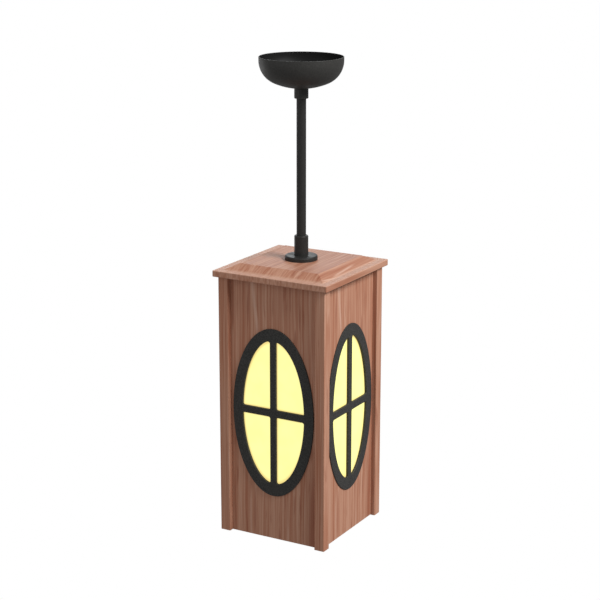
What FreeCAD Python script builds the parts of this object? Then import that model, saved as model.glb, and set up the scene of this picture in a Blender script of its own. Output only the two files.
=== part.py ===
"""Hanging lantern: a wooden box with four oval windows on a rigid metal stem with a ceiling canopy.

Millimetres. The origin is the centre of the hanging eye at the top of the stem, +Z is up, and the
lantern's front face looks along -Y. The ceiling is at rim_level, where the canopy's rim meets it.
"""
import FreeCAD, Part
import math
import os
import re

import Sketcher

# Driving dimensions. Each one becomes a cell of the document's sheet.
SIZES = {
    # heights
    "total_height": 659.0, "rim_level": 17.5, "post_length": 366.4, "slab_thick": 8.7,
    "field_rise": 7.8, "flange_thick": 6.1, "sleeve_height": 27.6, "window_middle": 182.9,
    # canopy
    "canopy_radius": 57.0, "canopy_depth": 42.4, "canopy_wall": 1.2, "canopy_straight": 4.8,
    "canopy_shoulder": 32.6, "collar_height": 13.1, "collar_radius": 9.55, "spigot_radius": 8.0,
    "collar_bore": 6.6, "collar_rise": 0.35, "ring_nut_radius": 12.5, "ring_nut_thick": 2.6,
    "ring_nut_rise": 1.0,
    "grub_radius": 1.95, "grub_length": 3.4,
    # stem
    "stem_radius": 6.5, "stem_bore": 5.0, "sleeve_radius": 9.6, "flange_radius": 22.4,
    "flange_round": 2.0, "nipple_radius": 4.95, "nipple_bore": 3.5, "nipple_engagement": 15.0,
    "eye_radius": 8.0, "eye_bore": 4.5, "eye_thick": 6.0, "eye_bevel": 0.5, "eye_barrel": 15.0,
    "lead_outlet": 12.0, "lead_outlet_radius": 2.5, "lead_radius": 1.0, "lead_spread": 1.3,
    "lead_grip": 5.0, "holder_terminal": 7.0,
    # terminals
    "bracket_thick": 1.5, "bracket_width": 14.0, "bracket_reach": 32.0, "bracket_tail": 17.0,
    "block_width": 20.0, "block_depth": 14.0, "block_height": 14.0, "block_near": 17.0,
    "pole_pitch": 10.0, "insert_radius": 2.2, "insert_bore": 1.3, "terminal_screw_radius": 1.6,
    "earth_place": 12.5, "earth_radius": 1.9, "earth_head_radius": 3.6, "earth_head_thick": 2.4,
    # fixings under the cap
    "washer_radius": 14.0, "washer_thick": 1.5, "nut_flats": 17.0, "nut_thick": 4.0,
    # wooden box
    "body_half": 82.5, "post_side": 15.0, "post_round": 1.0, "panel_recess": 6.5,
    "panel_thick": 5.0, "groove_depth": 2.5, "panel_lift": 0.3, "cap_half": 88.33,
    "cap_corner": 1.6, "cap_round": 1.0, "lip_width": 11.6, "bevel_run": 16.0,
    "rail_thick": 10.0, "rail_height": 12.0, "rail_half_length": 57.0, "rail_screw_place": 40.0,
    "rail_screw_radius": 1.9, "rail_screw_head": 3.8, "rail_screw_length": 17.5,
    # windows: half widths and half heights of the ovals, and depths behind the posts' faces
    "frame_half_width": 63.25, "frame_half_height": 119.4, "light_half_width": 48.4,
    "light_half_height": 102.5, "cut_half_width": 57.0, "cut_half_height": 113.0,
    "seat_half_width": 52.3, "seat_half_height": 106.3, "retainer_half_width": 62.0,
    "retainer_half_height": 118.0, "retainer_eye_width": 49.5, "retainer_eye_height": 103.5,
    "fit_gap": 0.2, "frame_recess": 4.8, "pane_recess": 8.1, "pane_thick": 3.0,
    "retainer_thick": 1.5, "upright_bar": 9.2, "cross_bar": 10.4, "light_round": 2.75,
    "frame_edge": 0.4, "fixing_half_width": 54.6, "fixing_half_height": 109.6,
    "fixing_radius": 1.4, "fixing_head": 2.4, "fixing_length": 4.0,
    # lampholder
    "holder_drop": 50.0, "holder_neck": 8.0, "holder_dome": 18.0, "holder_joint": 27.0,
    "holder_length": 58.0, "holder_radius": 19.5, "holder_wall": 1.6, "insert_top": 24.5,
    "insert_foot": 33.0, "socket_radius": 14.0, "socket_wall": 0.6, "socket_foot": 55.0,
    # bulb
    "bulb_length": 106.0, "bulb_radius": 30.0, "bulb_top": 34.6, "base_radius": 13.0,
    "base_wall": 0.5, "base_length": 21.5, "bulb_neck": 12.2, "glass_wall": 0.9,
    "filament_radius": 0.9, "filament_length": 34.0, "filament_ring": 7.0,
}

# Levels that several pieces share, as sums of the driving dimensions.
POST_FOOT = "rim_level - total_height"
CAP_FOOT = POST_FOOT + " + post_length"
SLAB_TOP = CAP_FOOT + " + slab_thick"
FIELD_TOP = SLAB_TOP + " + field_rise"
FLANGE_TOP = FIELD_TOP + " + flange_thick"
SLEEVE_TOP = FLANGE_TOP + " + sleeve_height"
WINDOW_MIDDLE = POST_FOOT + " + window_middle"
CANOPY_FOOT = "rim_level - canopy_depth"
CANOPY_FLOOR = CANOPY_FOOT + " + canopy_wall"
RING_NUT_FOOT = CANOPY_FLOOR + " + ring_nut_rise"
HOLDER_TOP = CAP_FOOT + " - holder_drop"
BULB_TOP = HOLDER_TOP + " - bulb_top"
GLOBE_MIDDLE = BULB_TOP + " - bulb_length + bulb_radius"
STEM_TOP = "0 - eye_barrel - bracket_thick"

SIDES = ["front", "right", "back", "left"]
CORNERS = ["back_right", "back_left", "front_left", "front_right"]
HALF_TURN, QUARTER_TURN = 180.0, 90.0
HEXAGON = 6
# Two measures closer than this are the same edge or level.
NEAR = 1e-3
# How much of the shorter run a lead's bend takes, and how far a sweep's volume may be off.
BEND_SHARE, VOLUME_SLACK = 0.45, 0.02
UP = FreeCAD.Vector(0, 0, 1)
ACROSS = FreeCAD.Vector(1, 0, 0)

doc = FreeCAD.newDocument("hanging_lantern")
sheet = doc.addObject("Spreadsheet::Sheet", "sizes")
nodes = []


def fill_sheet():
    for row, (name, number) in enumerate(SIZES.items(), start=1):
        sheet.set(f"A{row}", name)
        sheet.set(f"B{row}", str(number))
        sheet.setAlias(f"B{row}", name)
    doc.recompute()


def amount(formula):
    """The value of a formula: a sum of terms, each a product or quotient of names and numbers."""
    total = 0.0
    for sign, term in re.findall(r"([+-]?)\s*([\w.]+(?:\s*[*/]\s*[\w.]+)*)", formula):
        value = 1.0
        for operator, word in re.findall(r"([*/]?)\s*([\w.]+)", term):
            number = SIZES[word] if word in SIZES else float(word)
            value = value / number if operator == "/" else value * number
        total += -value if sign == "-" else value
    return total


def bound(formula):
    """The same formula as an expression that reads the sheet."""
    return re.sub(r"[A-Za-z_]\w*", lambda found: "sizes." + found.group(0), formula)


def bind(thing, **formulas):
    for name, formula in formulas.items():
        thing.setExpression(name, bound(formula))
    return thing


def place(thing, **formulas):
    """Binds the parts of a placement, such as x="stem_radius", to the sheet."""
    for axis, formula in formulas.items():
        thing.setExpression(f".Placement.Base.{axis}", bound(formula))
    return thing


def as_node(thing, label):
    """Marks an object as one of the lantern's pieces."""
    thing.Label = label
    nodes.append(thing)
    return thing


def turned(thing, quarters):
    """Turns a finished piece about the lantern's upright axis."""
    turn = FreeCAD.Rotation(UP, QUARTER_TURN * quarters)
    thing.Placement = FreeCAD.Placement(FreeCAD.Vector(), turn)
    return thing


# Sketches -------------------------------------------------------------------------------------

def new_body(label):
    body = doc.addObject("PartDesign::Body", label + "_body")
    return as_node(body, label)


def new_sketch(body, role, offset="0"):
    """A sketch on one of the body's own planes, moved along its normal by offset."""
    plane = [part for part in body.Origin.OriginFeatures if part.Role == role][0]
    sketch = body.newObject("Sketcher::SketchObject", body.Name + "_sketch")
    sketch.AttachmentSupport = [(plane, "")]
    sketch.MapMode = "FlatFace"
    sketch.setExpression(".AttachmentOffset.Base.z", bound(offset))
    return sketch


def fix_point(sketch, geometry, end, across, upwards):
    """Holds one point of a sketch at a pair of formulas."""
    for kind, formula, axis in (("DistanceX", across, -2), ("DistanceY", upwards, -1)):
        if formula == "0":
            sketch.addConstraint(Sketcher.Constraint("PointOnObject", geometry, end, axis))
            continue
        constraint = Sketcher.Constraint(kind, geometry, end, amount(formula))
        index = sketch.addConstraint(constraint)
        sketch.setExpression(f"Constraints[{index}]", bound(formula))


def polygon(sketch, corners):
    """A closed outline of straight edges through the corners, each a pair of formulas."""
    points = [FreeCAD.Vector(amount(x), amount(y), 0) for x, y in corners]
    first = sketch.GeometryCount
    for start, end in zip(points, points[1:] + points[:1]):
        sketch.addGeometry(Part.LineSegment(start, end))
    for i, (across, upwards) in enumerate(corners):
        after = first + (i + 1) % len(corners)
        sketch.addConstraint(Sketcher.Constraint("Coincident", first + i, 2, after, 1))
        fix_point(sketch, first + i, 1, across, upwards)


def circle(sketch, across, upwards, radius):
    centre = FreeCAD.Vector(amount(across), amount(upwards), 0)
    geometry = sketch.addGeometry(Part.Circle(centre, UP, amount(radius)))
    fix_point(sketch, geometry, 3, across, upwards)
    index = sketch.addConstraint(Sketcher.Constraint("Radius", geometry, amount(radius)))
    sketch.setExpression(f"Constraints[{index}]", bound(radius))


def oval(sketch, half_width, half_height, middle):
    """An upright ellipse on the sketch's vertical axis."""
    wide, high, level = amount(half_width), amount(half_height), amount(middle)
    top = FreeCAD.Vector(0, level + high, 0)
    side = FreeCAD.Vector(-wide, level, 0)
    geometry = sketch.addGeometry(Part.Ellipse(top, side, FreeCAD.Vector(0, level, 0)))
    sketch.exposeInternalGeometry(geometry)
    fix_point(sketch, geometry, 3, "0", middle)
    sketch.addConstraint(Sketcher.Constraint("Vertical", geometry + 1))
    for line, size, formula in ((1, high, half_height), (2, wide, half_width)):
        index = sketch.addConstraint(Sketcher.Constraint("Distance", geometry + line, 2 * size))
        terms = re.sub(r"([A-Za-z_]\w*)", r"\1 * 2", formula)
        sketch.setExpression(f"Constraints[{index}]", bound(terms))


# Features -------------------------------------------------------------------------------------

def feature(body, kind, sketch, **formulas):
    made = body.newObject("PartDesign::" + kind, body.Name + "_" + kind.lower())
    made.Profile = sketch
    return bind(made, **formulas)


def pad(body, sketch, length):
    return feature(body, "Pad", sketch, Length=length)


def pocket(body, sketch, length):
    """Cuts along the sketch's normal."""
    cut = feature(body, "Pocket", sketch, Length=length)
    cut.Reversed = True
    return cut


def cut_through(body, sketch):
    cut = feature(body, "Pocket", sketch)
    cut.Type = "ThroughAll"
    cut.Midplane = True
    return cut


def turn_solid(body, sketch, kind="Revolution"):
    """A revolution or groove about the lantern's upright axis."""
    made = feature(body, kind, sketch)
    made.ReferenceAxis = (sketch, ["V_Axis"])
    return made


def soften(body, kind, size, wanted):
    """A fillet or chamfer on every edge of the body that wanted(edge) picks."""
    doc.recompute()
    base = body.Tip
    names = [f"Edge{i}" for i, edge in enumerate(base.Shape.Edges, start=1) if wanted(edge)]
    made = body.newObject("PartDesign::" + kind, body.Name + "_" + kind.lower())
    made.Base = (base, names)
    size_name = "Radius" if kind == "Fillet" else "Size"
    return bind(made, **{size_name: size})


def repeat_round(body, original):
    """Repeats a feature on all four sides of the lantern."""
    pattern = body.newObject("PartDesign::PolarPattern", body.Name + "_pattern")
    pattern.Originals = [original]
    axis = [part for part in body.Origin.OriginFeatures if part.Role == "Z_Axis"][0]
    pattern.Axis = (axis, [""])
    pattern.Angle = 2 * HALF_TURN
    pattern.Occurrences = len(SIDES)
    body.Tip = pattern
    return pattern


def lathe(label, outline):
    """A body turned about the upright axis, from corners (radius, height)."""
    body = new_body(label)
    sketch = new_sketch(body, "XZ_Plane")
    polygon(sketch, outline)
    turn_solid(body, sketch)
    return body


def tube(label, outer, inner, foot, top):
    return lathe(label, [(inner, foot), (outer, foot), (outer, top), (inner, top)])


def is_level_circle(height, radius):
    """Picks level circular edges of that radius at that height."""
    def wanted(edge):
        box = edge.BoundBox
        flat = box.ZLength < NEAR and abs(box.ZMin - amount(height)) < NEAR
        return flat and abs(box.XLength / 2 - amount(radius)) < NEAR
    return wanted


def is_upright_at(half_width):
    """Picks upright edges at that distance either side of the lantern's middle plane."""
    def wanted(edge):
        box = edge.BoundBox
        upright = box.XLength < NEAR and box.YLength < NEAR
        return upright and abs(abs(box.XMin) - amount(half_width)) < NEAR
    return wanted


# Canopy ---------------------------------------------------------------------------------------

def bowl_outline(sketch, radius, shoulder, foot):
    """Half a bowl: straight wall under the rim, shoulder arc and a wide crown arc to the axis."""
    rim = amount("rim_level")
    outside, bend, straight = amount(radius), amount(shoulder), amount("canopy_straight")
    deep = rim - amount(foot) - straight
    crown = ((outside - bend) ** 2 + deep ** 2 - bend ** 2) / (2 * (deep - bend))
    wall_foot = rim - straight
    bend_centre = FreeCAD.Vector(outside - bend, wall_foot, 0)
    crown_centre = FreeCAD.Vector(0, amount(foot) + crown, 0)
    lean = math.atan2(wall_foot - crown_centre.y, outside - bend)
    bend_circle = Part.Circle(bend_centre, UP, bend)
    crown_circle = Part.Circle(crown_centre, UP, crown)
    full = 2 * math.pi
    wall_end = FreeCAD.Vector(outside, wall_foot, 0)
    pole = FreeCAD.Vector(0, amount(foot), 0)
    sketch.addGeometry([
        Part.LineSegment(pole, FreeCAD.Vector(0, rim, 0)),
        Part.LineSegment(FreeCAD.Vector(0, rim, 0), FreeCAD.Vector(outside, rim, 0)),
        Part.LineSegment(FreeCAD.Vector(outside, rim, 0), wall_end),
        Part.ArcOfCircle(bend_circle, lean + full, full),
        Part.ArcOfCircle(crown_circle, 1.5 * math.pi, lean + full),
    ])
    fix_point(sketch, 0, 1, "0", foot)
    fix_point(sketch, 0, 2, "0", "rim_level")
    fix_point(sketch, 1, 2, radius, "rim_level")
    fix_point(sketch, 2, 2, radius, "rim_level - canopy_straight")
    index = sketch.addConstraint(Sketcher.Constraint("Radius", 3, bend))
    sketch.setExpression(f"Constraints[{index}]", bound(shoulder))
    sketch.addConstraint([
        Sketcher.Constraint("Coincident", 0, 2, 1, 1),
        Sketcher.Constraint("Coincident", 1, 2, 2, 1),
        Sketcher.Constraint("Tangent", 2, 2, 3, 2),
        Sketcher.Constraint("Tangent", 3, 1, 4, 2),
        Sketcher.Constraint("Coincident", 4, 1, 0, 1),
        Sketcher.Constraint("PointOnObject", 4, 3, -2),
    ])


def make_canopy():
    cup = new_body("canopy_cup")
    outside = new_sketch(cup, "XZ_Plane")
    bowl_outline(outside, "canopy_radius", "canopy_shoulder", CANOPY_FOOT)
    turn_solid(cup, outside)
    inside = new_sketch(cup, "XZ_Plane")
    bowl_outline(inside, "canopy_radius - canopy_wall", "canopy_shoulder - canopy_wall", CANOPY_FLOOR)
    turn_solid(cup, inside, "Groove")
    hole = new_sketch(cup, "XY_Plane")
    circle(hole, "0", "0", "spigot_radius + fit_gap / 2")
    cut_through(cup, hole)
    soften(cup, "Fillet", "canopy_wall * 0.4", is_level_circle("rim_level", "canopy_radius"))

    collar = lathe("canopy_collar", [
        ("collar_bore", CANOPY_FOOT + " - collar_height"),
        ("collar_radius", CANOPY_FOOT + " - collar_height"),
        ("collar_radius", CANOPY_FOOT + " + collar_rise"),
        ("spigot_radius", CANOPY_FOOT + " + collar_rise"),
        ("spigot_radius", RING_NUT_FOOT + " + ring_nut_thick"),
        ("collar_bore", RING_NUT_FOOT + " + ring_nut_thick"),
    ])
    tapping = new_sketch(collar, "XZ_Plane")
    circle(tapping, "0", CANOPY_FOOT + " - collar_height / 2", "grub_radius + fit_gap / 4")
    cut = feature(collar, "Pocket", tapping, Length="collar_radius * 2")
    cut.Reversed = False
    foot = CANOPY_FOOT + " - collar_height"
    soften(collar, "Chamfer", "canopy_wall / 2", is_level_circle(foot, "collar_radius"))
    tube("canopy_ring_nut", "ring_nut_radius", "spigot_radius + fit_gap / 4",
         RING_NUT_FOOT, RING_NUT_FOOT + " + ring_nut_thick")

    grub = doc.addObject("Part::Cylinder", "grub_stock")
    bind(grub, Radius="grub_radius", Height="grub_length")
    socket = doc.addObject("Part::Prism", "grub_socket")
    socket.Polygon = HEXAGON
    bind(socket, Circumradius="grub_radius / 2", Height="grub_length")
    place(socket, z="grub_length / 2")
    screw = doc.addObject("Part::Cut", "grub_cut")
    screw.Base, screw.Tool = grub, socket
    screw.Placement.Rotation = FreeCAD.Rotation(ACROSS, -QUARTER_TURN)
    place(screw, y="stem_radius + fit_gap / 2", z=CANOPY_FOOT + " - collar_height / 2")
    as_node(screw, "canopy_grub_screw")


# Stem -----------------------------------------------------------------------------------------

def cylinder(name, radius, height, **where):
    stock = doc.addObject("Part::Cylinder", name)
    bind(stock, Radius=radius, Height=height)
    return place(stock, **where)


def make_hanging_eye():
    """A flat eye on a barrel, with a hollow threaded shank and a side outlet for the leads."""
    body = new_body("hanging_eye")
    shank = new_sketch(body, "XZ_Plane")
    polygon(shank, [
        ("0", "0 - eye_radius * 0.8"), ("stem_radius", "0 - eye_radius * 0.9"),
        ("stem_radius", "0 - eye_barrel"), ("nipple_radius", "0 - eye_barrel"),
        ("nipple_radius", "0 - eye_barrel - nipple_engagement"),
        ("nipple_bore", "0 - eye_barrel - nipple_engagement"),
        ("nipple_bore", "0 - lead_outlet + lead_outlet_radius + eye_bevel"),
        ("0", "0 - lead_outlet + lead_outlet_radius + eye_bevel"),
    ])
    turn_solid(body, shank)
    disc = new_sketch(body, "YZ_Plane")
    circle(disc, "0", "0", "eye_radius")
    eye = pad(body, disc, "eye_thick")
    eye.Midplane = True
    bore = new_sketch(body, "YZ_Plane")
    circle(bore, "0", "0", "eye_bore")
    cut_through(body, bore)
    outlet = new_sketch(body, "XZ_Plane")
    circle(outlet, "0", "0 - lead_outlet", "lead_outlet_radius")
    pocket(body, outlet, "stem_radius * 2")

    def bore_mouth(edge):
        box = edge.BoundBox
        on_face = box.XLength < NEAR and abs(abs(box.XMin) - amount("eye_thick / 2")) < NEAR
        return on_face and abs(box.ZLength / 2 - amount("eye_bore")) < NEAR
    soften(body, "Chamfer", "eye_bevel", bore_mouth)


def make_stem():
    tube("stem_tube", "stem_radius", "stem_bore", FLANGE_TOP, STEM_TOP)
    sleeve = lathe("stem_sleeve", [
        ("stem_radius + fit_gap / 4", FLANGE_TOP), ("sleeve_radius", FLANGE_TOP),
        ("sleeve_radius", SLEEVE_TOP), ("stem_radius + fit_gap / 4", SLEEVE_TOP),
    ])
    soften(sleeve, "Fillet", "flange_round * 0.75", is_level_circle(SLEEVE_TOP, "sleeve_radius"))
    flange = tube("cap_flange", "flange_radius", "nipple_radius + fit_gap / 4", FIELD_TOP, FLANGE_TOP)
    soften(flange, "Fillet", "flange_round", is_level_circle(FLANGE_TOP, "flange_radius"))
    tube("hollow_nipple", "nipple_radius", "nipple_bore",
         HOLDER_TOP + " - holder_neck - flange_round * 2", FLANGE_TOP + " + nipple_engagement")
    tube("nipple_washer", "washer_radius", "nipple_radius + fit_gap / 4",
         CAP_FOOT + " - washer_thick", CAP_FOOT)
    blank = doc.addObject("Part::Prism", "nut_blank")
    blank.Polygon = HEXAGON
    bind(blank, Circumradius=f"nut_flats / {math.sqrt(3)}", Height="nut_thick")
    thread = cylinder("nut_thread", "nipple_radius + fit_gap / 4", "nut_thick")
    nut = doc.addObject("Part::Cut", "nut_cut")
    nut.Base, nut.Tool = blank, thread
    place(nut, z=CAP_FOOT + " - washer_thick - nut_thick")
    as_node(nut, "nipple_nut")


# Terminals and leads --------------------------------------------------------------------------

def make_terminals():
    bracket = new_body("terminal_bracket")
    strip = new_sketch(bracket, "XY_Plane", STEM_TOP)
    left, right = "0 - bracket_width / 2", "bracket_width / 2"
    polygon(strip, [(left, "0 - bracket_reach"), (right, "0 - bracket_reach"),
                    (right, "bracket_tail"), (left, "bracket_tail")])
    pad(bracket, strip, "bracket_thick")
    holes = new_sketch(bracket, "XY_Plane", STEM_TOP)
    circle(holes, "0", "0", "nipple_radius + fit_gap / 2")
    circle(holes, "0", "earth_place", "earth_radius + fit_gap / 4")
    pocket(bracket, holes, "bracket_thick")
    soften(bracket, "Fillet", "flange_round", is_upright_at("bracket_width / 2"))

    block = new_body("terminal_block")
    outline = new_sketch(block, "XY_Plane", "0 - eye_barrel")
    left, right = "0 - block_width / 2", "block_width / 2"
    near, far = "0 - block_near", "0 - block_near - block_depth"
    polygon(outline, [(left, far), (right, far), (right, near), (left, near)])
    pad(block, outline, "block_height")
    level = "0 - lead_outlet + lead_radius / 2"
    barrels = new_sketch(block, "XZ_Plane")
    wells = new_sketch(block, "XY_Plane", level)
    for side in ("pole_pitch / 2", "0 - pole_pitch / 2"):
        circle(barrels, side, level, "insert_radius + fit_gap / 4")
        for row in ("0 - block_near - block_depth / 4", "0 - block_near - block_depth * 0.75"):
            circle(wells, side, row, "terminal_screw_radius + fit_gap / 2")
    cut_through(block, barrels)
    pocket(block, wells, "block_height")
    soften(block, "Fillet", "canopy_wall / 2", is_upright_at("block_width / 2"))

    inserts, screws = [], []
    for number, side in enumerate(("0 - pole_pitch / 2", "pole_pitch / 2")):
        shell = cylinder(f"insert_{number}", "insert_radius", "block_depth - fit_gap * 5")
        bore = cylinder(f"insert_bore_{number}", "insert_bore", "block_depth")
        barrel = doc.addObject("Part::Cut", f"insert_cut_{number}")
        barrel.Base, barrel.Tool = shell, bore
        barrel.Placement.Rotation = FreeCAD.Rotation(ACROSS, QUARTER_TURN)
        inserts.append(place(barrel, x=side, y="0 - block_near - fit_gap * 2.5", z=level))
        for row in ("0 - block_near - block_depth / 4", "0 - block_near - block_depth * 0.75"):
            name, length = f"clamp_{len(screws)}", "block_height / 2 - lead_outlet / 4"
            screw = cylinder(name, "terminal_screw_radius", length)
            screw = slotted(name, screw, "terminal_screw_radius",
                            length + " - terminal_screw_radius / 2", "terminal_screw_radius / 2")
            foot = level + " + insert_radius + fit_gap / 2"
            screws.append(place(screw, x=side, y=row, z=foot))
    group("terminal_inserts", inserts)
    group("terminal_screws", screws)

    shank = cylinder("earth_shank", "earth_radius", "bracket_thick * 3", z="0 - bracket_thick * 3")
    head = cylinder("earth_head", "earth_head_radius", "earth_head_thick")
    whole = doc.addObject("Part::Fuse", "earth_fuse")
    whole.Base, whole.Tool = shank, head
    earth = slotted("earth", whole, "earth_head_radius", "earth_head_thick / 2", "earth_head_thick / 2")
    as_node(place(earth, y="earth_place", z="0 - eye_barrel"), "earth_screw")


def slotted(name, screw, radius, foot, depth):
    """Cuts a straight driver slot right across a round head, from foot up by depth."""
    blade = doc.addObject("Part::Box", name + "_blade")
    bind(blade, Length=radius + " * 2", Width=radius + " * 0.3", Height=depth)
    place(blade, x="0 - " + radius, y="0 - " + radius + " * 0.15", z=foot)
    cut = doc.addObject("Part::Cut", name + "_slotted")
    cut.Base, cut.Tool = screw, blade
    return cut


def group(label, things):
    """Several identical fasteners as one piece of the list."""
    made = doc.addObject("Part::Compound", label + "_group")
    made.Links = things
    return as_node(made, label)


def rounded_path(points):
    """Straight runs joined by tangent arcs, each as large as its two runs allow."""
    edges, start = [], points[0]
    for before, corner, after in zip(points, points[1:], points[2:]):
        inward, onward = before - corner, after - corner
        reach = BEND_SHARE * min(inward.Length, onward.Length)
        inward.normalize()
        onward.normalize()
        half = inward.getAngle(onward) / 2
        radius = reach * math.tan(half)
        middle = corner + (inward + onward).normalize() * (radius / math.sin(half) - radius)
        first, last = corner + inward * reach, corner + onward * reach
        print(f"  lead bend radius {radius:.1f}")
        edges.append(Part.LineSegment(start, first).toShape())
        edges.append(Part.Arc(first, middle, last).toShape())
        start = last
    edges.append(Part.LineSegment(start, points[-1]).toShape())
    return Part.Wire(edges)


def make_lead(label, side):
    """An insulated lead from the terminal block, down inside the stem, to the lampholder."""
    spread = amount("lead_spread") * side
    pole = amount("pole_pitch / 2") * side
    terminal = amount("holder_terminal") * side
    outlet = amount("0 - lead_outlet")
    holder = amount(HOLDER_TOP)
    near = amount("0 - block_near")
    block_level = outlet + amount("lead_radius / 2")
    insert_top = holder - amount("insert_top")
    route = [
        FreeCAD.Vector(pole, near - amount("lead_grip"), block_level),
        FreeCAD.Vector(pole, near + amount("lead_grip / 2"), block_level),
        FreeCAD.Vector(spread, near / 2 + amount("lead_radius"), outlet + amount("fit_gap")),
        FreeCAD.Vector(spread, 0, outlet - amount("fit_gap * 1.5")),
        FreeCAD.Vector(spread, 0, holder - amount("holder_neck + flange_round * 2")),
        FreeCAD.Vector(terminal, 0, insert_top + amount("lead_radius * 4")),
        FreeCAD.Vector(terminal, 0, insert_top + amount("fit_gap")),
    ]
    path = rounded_path(route)
    radius = amount("lead_radius")
    heading = route[1] - route[0]
    section = Part.Wire([Part.makeCircle(radius, route[0], heading)])
    solid = path.makePipeShell([section], True, True)
    wanted = path.Length * math.pi * radius ** 2
    if abs(solid.Volume - wanted) > VOLUME_SLACK * wanted:
        raise RuntimeError(f"{label}: volume {solid.Volume:.1f}, expected {wanted:.1f}")
    lead = doc.addObject("Part::Feature", label + "_sweep")
    lead.Shape = solid
    as_node(lead, label)


# Wooden box -----------------------------------------------------------------------------------

def make_cap_board():
    board = new_body("cap_board")
    slab = new_sketch(board, "XY_Plane", CAP_FOOT)
    square(slab, "cap_half")
    pad(board, slab, "slab_thick")
    soften(board, "Fillet", "cap_corner", is_upright_at("cap_half"))

    def outer_edge(edge):
        box = edge.BoundBox
        reach = max(abs(box.XMin), abs(box.XMax), abs(box.YMin), abs(box.YMax))
        return box.ZLength < NEAR and reach > amount("cap_half - cap_corner * 1.1")
    soften(board, "Fillet", "cap_round", outer_edge)
    low = new_sketch(board, "XY_Plane", SLAB_TOP)
    square(low, "cap_half - lip_width")
    high = new_sketch(board, "XY_Plane", FIELD_TOP)
    square(high, "cap_half - lip_width - bevel_run")
    field = board.newObject("PartDesign::AdditiveLoft", "cap_field")
    field.Profile = low
    field.Sections = [high]
    field.Ruled = True
    middle = new_sketch(board, "XY_Plane")
    circle(middle, "0", "0", "nipple_radius + fit_gap / 2")
    cut_through(board, middle)
    pilots = new_sketch(board, "XY_Plane", CAP_FOOT)
    rail_screw_holes(pilots, "rail_screw_radius + fit_gap / 4")
    repeat_round(board, pocket(board, pilots, "rail_screw_length - rail_height + fit_gap * 5"))


def square(sketch, half):
    minus = "0 - " + half.replace("-", "+")
    polygon(sketch, [(minus, minus), (half, minus), (half, half), (minus, half)])


def rail_screw_holes(sketch, radius):
    """The two screws of the front rail."""
    across = "0 - body_half + panel_recess + panel_thick + rail_thick / 2"
    for side in ("rail_screw_place", "0 - rail_screw_place"):
        circle(sketch, side, across, radius)


def make_posts():
    """Square posts with a groove for the panel on each of the two inner faces."""
    face, inner = "body_half", "body_half - post_side"
    groove = "body_half - post_side + groove_depth"
    front, rear = "body_half - panel_recess", "body_half - panel_recess - panel_thick"
    outline = [
        (face, face), (inner, face), (inner, front), (groove, front), (groove, rear),
        (inner, rear), (inner, inner), (rear, inner), (rear, groove), (front, groove),
        (front, inner), (face, inner),
    ]

    def rounded(edge):
        box = edge.BoundBox
        upright = box.XLength < NEAR and box.YLength < NEAR
        outer, other = max(box.XMin, box.YMin), min(box.XMin, box.YMin)
        at_corner = abs(other - amount(inner)) < NEAR or abs(other - amount(face)) < NEAR
        return upright and abs(outer - amount(face)) < NEAR and at_corner
    for quarters, corner in enumerate(CORNERS):
        body = new_body("corner_post_" + corner)
        sketch = new_sketch(body, "XY_Plane", POST_FOOT)
        polygon(sketch, outline)
        pad(body, sketch, "post_length")
        soften(body, "Fillet", "post_round", rounded)
        turned(body, quarters)


def make_panel(side, quarters):
    panel = new_body("panel_" + side)
    board = new_sketch(panel, "XZ_Plane", "body_half - panel_recess - panel_thick")
    edge = "body_half - post_side + groove_depth - fit_gap / 2"
    minus = "0 - body_half + post_side - groove_depth + fit_gap / 2"
    foot = POST_FOOT + " + panel_lift"
    polygon(board, [(minus, foot), (edge, foot), (edge, CAP_FOOT), (minus, CAP_FOOT)])
    pad(panel, board, "panel_thick")
    hole = new_sketch(panel, "XZ_Plane")
    oval(hole, "cut_half_width", "cut_half_height", WINDOW_MIDDLE)
    cut_through(panel, hole)
    turned(panel, quarters)


def make_rail(side, quarters):
    rail = new_body("top_rail_" + side)
    strip = new_sketch(rail, "XY_Plane", CAP_FOOT + " - rail_height")
    outside = "0 - body_half + panel_recess + panel_thick"
    inside = outside + " + rail_thick"
    left, right = "0 - rail_half_length", "rail_half_length"
    polygon(strip, [(left, outside), (right, outside), (right, inside), (left, inside)])
    pad(rail, strip, "rail_height")
    holes = new_sketch(rail, "XY_Plane", CAP_FOOT + " - rail_height")
    rail_screw_holes(holes, "rail_screw_radius + fit_gap / 2")
    pocket(rail, holes, "rail_height")
    turned(rail, quarters)


def make_rail_screws():
    """Slotted wood screws, up through the rails into the cap board."""
    screws = []
    across = amount("0 - body_half + panel_recess + panel_thick + rail_thick / 2")
    level = amount(CAP_FOOT + " - rail_height")
    for quarters in range(len(SIDES)):
        for along in (amount("rail_screw_place"), amount("0 - rail_screw_place")):
            screws.append(fastener(f"rail_screw_{len(screws)}", "rail_screw_radius", "rail_screw_length",
                                   "rail_screw_head", "rail_screw_radius",
                                   FreeCAD.Vector(along, across, level), FreeCAD.Rotation(), quarters))
    group("rail_screws", screws)


def fastener(name, radius, length, head_radius, head_thick, seat, heading, quarters):
    """A shank and a slotted head that meet at the seat. The shank runs along heading's Z axis."""
    shank = cylinder(name + "_shank", radius, length)
    head = doc.addObject("Part::Cone", name + "_head")
    bind(head, Radius1=head_radius + " * 0.7", Radius2=head_radius, Height=head_thick)
    place(head, z="0 - " + head_thick)
    whole = doc.addObject("Part::Fuse", name + "_fuse")
    whole.Base, whole.Tool = shank, head
    screw = slotted(name, whole, head_radius, "0 - " + head_thick, head_thick + " / 2")
    side_turn = FreeCAD.Placement(FreeCAD.Vector(), FreeCAD.Rotation(UP, QUARTER_TURN * quarters))
    screw.Placement = side_turn * FreeCAD.Placement(seat, heading)
    return screw


# Windows --------------------------------------------------------------------------------------

PANEL_BACK = "body_half - panel_recess - panel_thick"


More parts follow.
